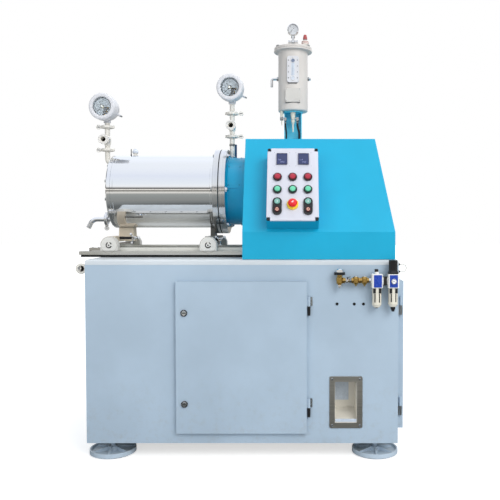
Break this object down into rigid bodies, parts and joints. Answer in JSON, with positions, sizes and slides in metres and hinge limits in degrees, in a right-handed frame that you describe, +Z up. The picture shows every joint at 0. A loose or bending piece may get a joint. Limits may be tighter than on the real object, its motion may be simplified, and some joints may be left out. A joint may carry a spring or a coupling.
{
  "type": "pin-type bead mill",
  "caption": "Horizontal pin-type bead mill: cabinet on levelling feet, polished chamber on a sliding carriage, blue hood with tilted control box, seal-fluid pot and air unit.",
  "frame": {"origin": "on the floor, under the middle of the machine's box", "axes": "+X to the machine's right, +Y to its back, +Z up"},
  "size_m": [1.5617, 0.9457, 2.0219],
  "materials": {
    "cabinet_paint": "light grey-blue enamel",
    "hood_paint": "gloss cyan-blue enamel",
    "frame_steel": "grey primer",
    "pad_rubber": "moulded",
    "hinge_steel": "zinc plated",
    "lock_chrome": "plated",
    "brushed_stainless": "brushed",
    "polished_stainless": "mirror polished stainless",
    "bearing_steel": "ground",
    "rotor_steel": "hardened",
    "rail_steel": "ground",
    "cast_pulley": "machined casting",
    "motor_casting": "painted casting",
    "belt_rubber": "wrapped belt",
    "cover_paint": "warm light grey enamel",
    "black_plastic": "moulded",
    "gauge_enamel": "white enamel",
    "needle_metal": "black lacquer",
    "lid_paint": "white enamel",
    "lamp_plastic": "clear coloured lens",
    "station_plastic": "moulded",
    "green_plastic": "moulded",
    "red_plastic": "moulded",
    "pot_enamel": "warm light grey enamel",
    "hose_rubber": "smooth",
    "unit_plastic": "moulded",
    "manifold_brass": "turned"
  },
  "bodies": {
    "root": {"cabinet_top_plate": "cabinet_paint", "cabinet_front_panel": "cabinet_paint", "cabinet_side_panels": "cabinet_paint", "cabinet_frame": "frame_steel", "levelling_feet": "cabinet_paint", "foot_pads": "pad_rubber", "hinge_halves": "hinge_steel", "window_frame": "brushed_stainless", "hood_shell": "hood_paint", "bearing_housing": "hood_paint", "inspection_cover": "hood_paint", "housing_flange": "polished_stainless", "flange_bolts": "polished_stainless", "spindle_bearings": "bearing_steel", "drive_belts": "belt_rubber", "drive_motor": "motor_casting", "guide_rails": "rail_steel", "drip_tray": "polished_stainless", "outlet_stem": "polished_stainless", "right_gauge_case": "gauge_enamel", "control_box": "hood_paint", "control_lid": "lid_paint", "panel_displays": "black_plastic", "indicator_lamps": "lamp_plastic", "button_stations": "station_plastic", "pot_column": "hood_paint", "pot_body": "pot_enamel", "pot_lid": "pot_enamel", "pot_fittings": "polished_stainless", "pot_hoses": "hose_rubber", "air_unit": "unit_plastic", "air_manifold": "manifold_brass", "hose_port": "polished_stainless"},
    "front_door": {"front_door": "cabinet_paint"},
    "side_door": {"side_door": "cabinet_paint"},
    "lock_lower": {"lock_lower": "lock_chrome"},
    "lock_upper": {"lock_upper": "lock_chrome"},
    "carriage": {"chamber_jacket": "polished_stainless", "grinding_cylinder": "rotor_steel", "end_cover": "polished_stainless", "roller_covers": "cover_paint", "carriage_frame": "frame_steel", "inlet_stem": "polished_stainless", "left_gauge_case": "gauge_enamel", "product_spout": "polished_stainless"},
    "left_gauge_needle": {"left_gauge_needle": "needle_metal"},
    "right_gauge_needle": {"right_gauge_needle": "needle_metal"},
    "pot_needle": {"pot_needle": "needle_metal"},
    "left_roller_axle": {"left_roller_axle": "bearing_steel"},
    "right_roller_axle": {"right_roller_axle": "bearing_steel"},
    "clamp_lever": {"clamp_lever": "black_plastic"},
    "rotor": {"pin_rotor": "rotor_steel"},
    "motor_pulley": {"motor_pulley": "cast_pulley"},
    "start_button_left": {"start_button_left": "green_plastic"},
    "start_button_right": {"start_button_right": "green_plastic"},
    "stop_button_left": {"stop_button_left": "red_plastic"},
    "stop_button_right": {"stop_button_right": "red_plastic"},
    "estop_button": {"estop_button": "red_plastic"},
    "regulator_knob": {"regulator_knob": "black_plastic"},
    "manifold_knob": {"manifold_knob": "black_plastic"}
  },
  "joints": [
    {"name": "front_door_hinge", "type": "hinge", "parent": "root", "child": "front_door", "pos_m": [0.3419, -0.4112, 0.45], "axis": [0, 0, 1], "range_deg": [0, 110]},
    {"name": "side_door_hinge", "type": "hinge", "parent": "root", "child": "side_door", "pos_m": [0.7519, -0.3792, 0.45], "axis": [0, 0, -1], "range_deg": [0, 100]},
    {"name": "lock_lower_turn", "type": "hinge", "parent": "front_door", "child": "lock_lower", "pos_m": [-0.2081, -0.4112, 0.251], "axis": [0, 1, 0], "range_deg": [0, 90]},
    {"name": "lock_upper_turn", "type": "hinge", "parent": "front_door", "child": "lock_upper", "pos_m": [-0.2081, -0.4112, 0.655], "axis": [0, 1, 0], "range_deg": [0, 90]},
    {"name": "carriage_slide", "type": "slide", "parent": "root", "child": "carriage", "axis": [-1, 0, 0], "range_m": [0, 0.1]},
    {"name": "left_roller_spin", "type": "hinge", "parent": "carriage", "child": "left_roller_axle", "pos_m": [-0.5951, 0.0288, 0.9473], "axis": [0, 1, 0], "range_deg": [-210, 0]},
    {"name": "right_roller_spin", "type": "hinge", "parent": "carriage", "child": "right_roller_axle", "pos_m": [-0.1291, 0.0288, 0.9473], "axis": [0, 1, 0], "range_deg": [-210, 0]},
    {"name": "clamp_lever_turn", "type": "hinge", "parent": "carriage", "child": "clamp_lever", "pos_m": [-0.4981, -0.1252, 0.979], "axis": [0, -1, 0], "range_deg": [0, 100]},
    {"name": "left_gauge_needle_turn", "type": "hinge", "parent": "carriage", "child": "left_gauge_needle", "pos_m": [-0.6661, 0.0288, 1.626], "axis": [0.0698, 0.9976, 0], "range_deg": [0, 270], "stiffness_Nm_per_rad": 0.002},
    {"name": "right_gauge_needle_turn", "type": "hinge", "parent": "root", "child": "right_gauge_needle", "pos_m": [-0.0371, 0.0288, 1.72], "axis": [0.0698, 0.9976, 0], "range_deg": [0, 270], "stiffness_Nm_per_rad": 0.002},
    {"name": "pot_needle_turn", "type": "hinge", "parent": "root", "child": "pot_needle", "pos_m": [0.2694, -0.0512, 1.994], "axis": [0, 1, 0], "range_deg": [0, 270], "stiffness_Nm_per_rad": 0.0005},
    {"name": "rotor_spin", "type": "hinge", "parent": "root", "child": "rotor", "pos_m": [0.0449, 0.0288, 1.21], "axis": [1, 0, 0], "continuous": true},
    {"name": "motor_spin", "type": "hinge", "parent": "root", "child": "motor_pulley", "pos_m": [0.5449, 0.0288, 0.34], "axis": [1, 0, 0], "continuous": true},
    {"name": "start_button_left_press", "type": "slide", "parent": "root", "child": "start_button_left", "axis": [0, 0.9063, -0.4226], "range_m": [0, 0.0035], "stiffness_N_per_m": 250, "springref_m": -0.001},
    {"name": "start_button_right_press", "type": "slide", "parent": "root", "child": "start_button_right", "axis": [0, 0.9063, -0.4226], "range_m": [0, 0.0035], "stiffness_N_per_m": 250, "springref_m": -0.001},
    {"name": "stop_button_left_press", "type": "slide", "parent": "root", "child": "stop_button_left", "axis": [0, 0.9063, -0.4226], "range_m": [0, 0.0035], "stiffness_N_per_m": 250, "springref_m": -0.001},
    {"name": "stop_button_right_press", "type": "slide", "parent": "root", "child": "stop_button_right", "axis": [0, 0.9063, -0.4226], "range_m": [0, 0.0035], "stiffness_N_per_m": 250, "springref_m": -0.001},
    {"name": "estop_press", "type": "slide", "parent": "root", "child": "estop_button", "axis": [0, 0.9063, -0.4226], "range_m": [0, 0.005]},
    {"name": "regulator_knob_turn", "type": "hinge", "parent": "root", "child": "regulator_knob", "pos_m": [0.7079, -0.4352, 0.86], "axis": [0, 0, 1], "range_deg": [0, 330]},
    {"name": "manifold_knob_turn", "type": "hinge", "parent": "root", "child": "manifold_knob", "pos_m": [0.4749, -0.4312, 0.835], "axis": [0, 0, 1], "range_deg": [0, 330]}
  ],
  "couplings": [
    {"joint": "motor_spin", "follows": "rotor_spin", "ratio": 1.3233},
    {"joint": "left_roller_spin", "follows": "carriage_slide", "rad_per_m": -35.714},
    {"joint": "right_roller_spin", "follows": "carriage_slide", "rad_per_m": -35.714}
  ]
}
